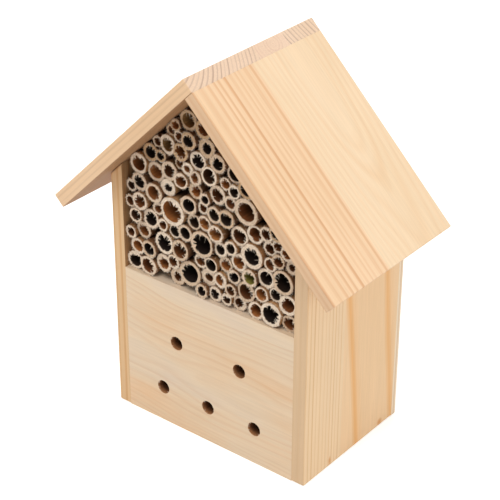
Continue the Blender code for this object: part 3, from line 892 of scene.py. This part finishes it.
    def add_fuzz(self):
        """Short fuzz that the saw left round the outside, more of it below."""
        for _ in range(round(34 + 40 * self.draw.random())):
            below = self.draw.random() >= 0.5
            angle = self.draw.gauss(-math.pi / 2, 0.9) if below else self.draw.uniform(0.0, math.tau)
            outward = self.any_way((-0.9, 0.9), (-0.8, 0.5), (-0.9, 0.9)) + spoke(angle)
            self.spike(self.rim(angle, self.outline(angle) - 0.15 * MM), outward, (0.3, 1.4), (0.06, 0.17), FIBRE)

    def add_fluff(self):
        """Fluff that stands up from the sawn face."""
        for _ in range(round(24 + 30 * self.draw.random())):
            angle = self.draw.uniform(0.0, math.tau)
            radius = self.draw.uniform(self.bore * 1.02, self.outline(angle) * 0.97)
            way = self.any_way((-1, 1), (-0.9, -0.1), (-1, 1))
            self.spike(self.rim(angle, radius, 0.1 * MM), way, (0.3, 0.9), (0.06, 0.13), FIBRE)

    def add_chips(self):
        """Chips caught on top of the cane, behind its cut end."""
        for _ in range(self.draw.randrange(6, 14)):
            angle = self.draw.gauss(math.pi * 0.4, 0.9)
            start = self.centre + spoke(angle, self.outline(angle), self.draw.uniform(0.8, 6.0) * MM)
            self.spike(start, self.any_way((-1, 1), (-1, 1), (-0.3, 0.5)), (0.5, 1.8), (0.06, 0.16), FIBRE, CUT, SKIN)

    def build(self, materials):
        """The materials are in the order of SKIN, CUT, INSIDE and FIBRE."""
        self.draw_wall()
        self.add_splinters()
        self.add_fuzz()
        self.add_fluff()
        self.add_chips()
        piece = add_piece(self.name, self.tube.shape, materials, "bamboo", self.node)
        piece.data.shade_smooth()
        piece.data.set_sharp_from_angle(angle=SHARP_TURN)


# ---- hanger


def cross_cutter(centre, radius):
    """The two crossed bars that cut a screw's recess."""
    cross = bmesh.new()
    for turn in (0.0, math.pi / 2):
        bar = Matrix.Translation(centre) @ Matrix.Rotation(turn + 0.3, 4, "Y")
        bmesh.ops.create_cube(cross, size=1.0,
                              matrix=bar @ Matrix.Diagonal((radius * 1.2, 1.4 * MM, 0.55 * MM, 1.0)))
    return set_out("cross_cutter", mesh_from("cross_cutter", cross))


def screw_head(node, material):
    """The CAD screw with a domed head and a cross recess."""
    low, high = (Vector(corner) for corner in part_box(node))
    centre = (low + high) / 2
    radius, length = (high.x - low.x) / 2, high.y - low.y
    head = shank = 1.2 * MM  # the head's height and the shank's radius
    profile = ((0.0, 0.0), (radius * 0.55, -0.08 * MM), (radius * 0.9, -0.38 * MM), (radius, -0.75 * MM),
               (radius, -head), (shank, -head), (shank, shank - length), (0.0, -length))
    shape = bmesh.new()
    points = [shape.verts.new((centre.x + r, high.y + y, centre.z)) for r, y in profile]
    edges = [shape.edges.new(pair) for pair in zip(points, points[1:])]
    bmesh.ops.spin(shape, geom=points + edges, cent=(centre.x, 0.0, centre.z), axis=(0.0, 1.0, 0.0),
                   angle=math.tau, steps=32, use_merge=True)
    bmesh.ops.remove_doubles(shape, verts=shape.verts, dist=0.01 * MM)
    bmesh.ops.recalc_face_normals(shape, faces=shape.faces)
    piece = add_piece(node + "_turned", shape, [material], "zinc_plate", node)
    cutter = cross_cutter((centre.x, high.y, centre.z), radius)
    cut = piece.modifiers.new("recess", "BOOLEAN")
    cut.operation = "DIFFERENCE"
    cut.use_self = True
    cut.object = cutter
    bpy.context.view_layer.update()
    carved = bpy.data.meshes.new_from_object(piece.evaluated_get(bpy.context.evaluated_depsgraph_get()))
    piece.modifiers.clear()
    piece.data = carved
    bpy.data.objects.remove(cutter, do_unlink=True)
    carved.shade_smooth()
    carved.set_sharp_from_angle(angle=SHARP_TURN)


# ---- house


def build_boards(fibre):
    """All the boards, each with its own wood."""
    left, right, back = Vector((-1.0, 0.0, 0.0)), Vector((1.0, 0.0, 0.0)), Vector((0.0, 1.0, 0.0))
    up_the_slope = Vector((-1.0, 0.0, 1.0)).normalized()
    off_the_roof = Vector((1.0, 0.0, 1.0)).normalized()
    roof_right = pine("pine_right_roof", RIGHT_SLOPE, centre_of("right_roof_board"), [
        stave((-0.1186, 0.0996), 3.5, 1.0, (0.855, 0.60, 0.375), (0.69, 0.365, 0.18), wander=2.5, uneven=2.6,
              line=STRIPE_LINE, faintest=0.2),
        stave((0.034, -0.019), 4.2, 0.6, (0.865, 0.655, 0.435), (0.82, 0.56, 0.33), start=-0.0065, wander=26,
              tilt=0.10, line=BROAD_LINE, faintest=0.2),
    ], 1.0, edge_tint=(0.86, 0.83, 0.82))
    roof_left = pine("pine_left_roof", LEFT_SLOPE, centre_of("left_roof_board"), [
        stave((-0.076, 0.031), 3.1, 0.85, (0.82, 0.58, 0.385), (0.47, 0.30, 0.21), wander=2.5, uneven=1.2,
              line=FINE_LINE, faintest=0.3),
        stave((0.0186, 0.0005), 2.6, 0.42, (0.825, 0.58, 0.387), (0.66, 0.39, 0.26), start=0.0015, wander=4),
        stave((0.150, 0.030), 3.3, 0.85, (0.82, 0.585, 0.385), (0.45, 0.29, 0.20), start=0.031, wander=2,
              line=FINE_LINE),
    ], 2.0, end_tint=(1.02, 1.06, 1.15), edge_tint=(0.985, 0.945, 0.86), edge_lines=0.4, face_lines=0.45,
        painted_shade_way=-up_the_slope)
    side_right = pine("pine_right_side", UPRIGHT, centre_of("right_side_board"), [
        stave((-0.120, 0.070), 2.9, 0.95, (0.81, 0.59, 0.365), (0.67, 0.42, 0.21), wander=2, uneven=1.4,
              line=FINE_LINE),
        stave((0.095, -0.045), 36.5, 0.95, (0.81, 0.56, 0.328), (0.77, 0.41, 0.15), start=-0.010, wander=8,
              uneven=0.0, lean=0.105, line=VEIN_LINE, faintest=0.85),
    ], 3.0, edge_tint=(0.87, 0.84, 0.83), edge_lines=0.3, painted_shade_way=left,
        knots=((-SIDE_MIDDLE + 4 * MM, -0.022, 9 * MM, 3 * MM), (-SIDE_MIDDLE + 3 * MM, 0.036, 7 * MM, 7 * MM)))
    side_left = pine("pine_left_side", UPRIGHT, centre_of("left_side_board"), [
        stave((-0.090, 0.045), 3.6, 0.85, (0.78, 0.55, 0.335), (0.64, 0.35, 0.15), wander=4, line=FINE_LINE),
    ], 4.0, edge_tint=(0.93, 0.87, 0.77), edge_lines=0.9, painted_shade_way=right)
    front = pine("pine_front_panel", LEVEL, centre_of("front_panel"), [
        stave((0.060, -0.004), 2.3, 0.66, (0.775, 0.590, 0.405), (0.69, 0.445, 0.265), wander=19, uneven=3.0,
              tilt=0.05, faintest=0.0),
    ], 5.0, tone=((0.32, (1.0, 0.885, 0.775)), (0.45, (1.0, 0.975, 0.945)), (0.56, (0.99, 1.02, 1.05)),
                  (0.68, (0.94, 0.985, 1.08))))
    level = pine("pine_inside", LEVEL, centre_of("shelf_board"), [
        stave((0.020, -0.030), 4.5, 0.5, (0.80, 0.58, 0.37), (0.72, 0.43, 0.22)),
    ], 6.0)
    # the ridge strip's lower edge meets the right board, whose own top edge is closed up to it
    ridge_joint = (off_the_roof - 0.2 * up_the_slope).normalized()
    board("right_roof_board", roof_right, "pine", ROOF_EDGE, butt=up_the_slope, keep=[up_the_slope])
    board("left_roof_board", roof_left, "pine", ROOF_EDGE, keep=[ridge_joint])
    board("right_side_board", side_right, "pine", keep=[left, back])
    board("left_side_board", side_left, "pine", keep=[right, back])
    board("floor_board", level, "pine")
    board("shelf_board", level, "pine")
    low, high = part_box("front_panel")
    drilled_panel([front, drilled_wall(low[1], high[1]), fibre])
    low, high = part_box("back_panel")
    board("back_panel", plywood("back_plywood", low[1], high[1], 7.0), "plywood", PLYWOOD_EDGE, butt=-back,
          keep=[-back])


def build_hanger():
    """The keyhole plate and its two screws."""
    plated = zinc()
    board("hanger_plate", plated, "zinc_plate", PLATE_EDGE)
    for node in ("hanger_screw_left", "hanger_screw_right"):
        screw_head(node, plated)


def build_canes(fibre):
    """Every cane as a piece of its own."""
    materials = [cane_skin(), cane_cut(), cane_bore(), fibre]
    canes = read_canes()
    for number, info in enumerate(canes):
        Cane(number, info, canes).build(materials)


# ---- studio


def add_camera():
    """A long lens on the house from its right front, a little above it."""
    back = direction(CAMERA_AZIMUTH, CAMERA_ELEVATION)
    camera = set_out("camera", bpy.data.cameras.new("camera"))
    camera.data.lens = CAMERA_LENS
    camera.location = CAMERA_AIM + back * CAMERA_DISTANCE
    roll = Matrix.Rotation(math.radians(-CAMERA_ROLL), 4, "Z")
    camera.rotation_euler = ((-back).to_track_quat("-Z", "Y").to_matrix().to_4x4() @ roll).to_euler()
    bpy.context.scene.camera = camera


def add_lamp(name, azimuth, elevation, strength):
    """A round soft box. A white face square to it would render at the strength given."""
    lamp = bpy.data.lights.new(name, "AREA")
    lamp.shape = "DISK"
    lamp.size = 2 * LAMP_DISTANCE * math.tan(LAMP_SPREAD / 2)
    lamp.energy = strength * math.pi ** 2 * LAMP_DISTANCE ** 2
    back = direction(azimuth, elevation)
    holder = set_out(name, lamp)
    holder.location = CAMERA_AIM + back * LAMP_DISTANCE
    holder.rotation_euler = (-back).to_track_quat("-Z", "Y").to_euler()


def add_floor():
    """A white sheet under the house. Seen straight on, it is a little lighter, so that only the shadow shows."""
    floor = bmesh.new()
    bmesh.ops.create_grid(floor, x_segments=1, y_segments=1, size=6.0)
    sheet = set_out("floor", mesh_from("floor", floor))
    recipe = Recipe("floor")
    seen = recipe.add("ShaderNodeLightPath").outputs["Is Camera Ray"]
    recipe.shader.inputs["Emission Color"].default_value = (1.0, 1.0, 1.0, 1.0)
    recipe.feed(recipe.shader.inputs["Emission Strength"], recipe.times(seen, FLOOR_LIFT))
    sheet.data.materials.append(recipe.finish((0.96, 0.96, 0.96, 1.0), 0.9, specular=0.0))


def add_sky():
    """White surroundings: full white to look at and in reflections, and weaker as a light."""
    world = bpy.data.worlds.new("studio")
    bpy.context.scene.world = world
    world.use_nodes = True
    tree = world.node_tree
    sky = tree.nodes["Background"]
    path = tree.nodes.new("ShaderNodeLightPath")
    seen = path.outputs["Is Camera Ray"]
    for name in ("Is Glossy Ray", "Is Transmission Ray"):
        either = tree.nodes.new("ShaderNodeMath")
        either.operation = "MAXIMUM"
        tree.links.new(seen, either.inputs[0])
        tree.links.new(path.outputs[name], either.inputs[1])
        seen = either.outputs[0]
    strength = tree.nodes.new("ShaderNodeMath")
    strength.operation = "MULTIPLY_ADD"
    tree.links.new(seen, strength.inputs[0])
    strength.inputs[1].default_value = 1.0 - SKY_LIGHT
    strength.inputs[2].default_value = SKY_LIGHT
    tree.links.new(strength.outputs[0], sky.inputs["Strength"])
    sky.inputs["Color"].default_value = (1.0, 1.0, 1.0, 1.0)


add_camera()
pale_fibre = torn_fibre()
build_boards(pale_fibre)
build_hanger()
build_canes(pale_fibre)
add_floor()
add_sky()
for name, azimuth, elevation, strength in LAMPS:
    add_lamp(name, azimuth, elevation, strength)
bpy.context.scene.view_settings.view_transform = "Standard"
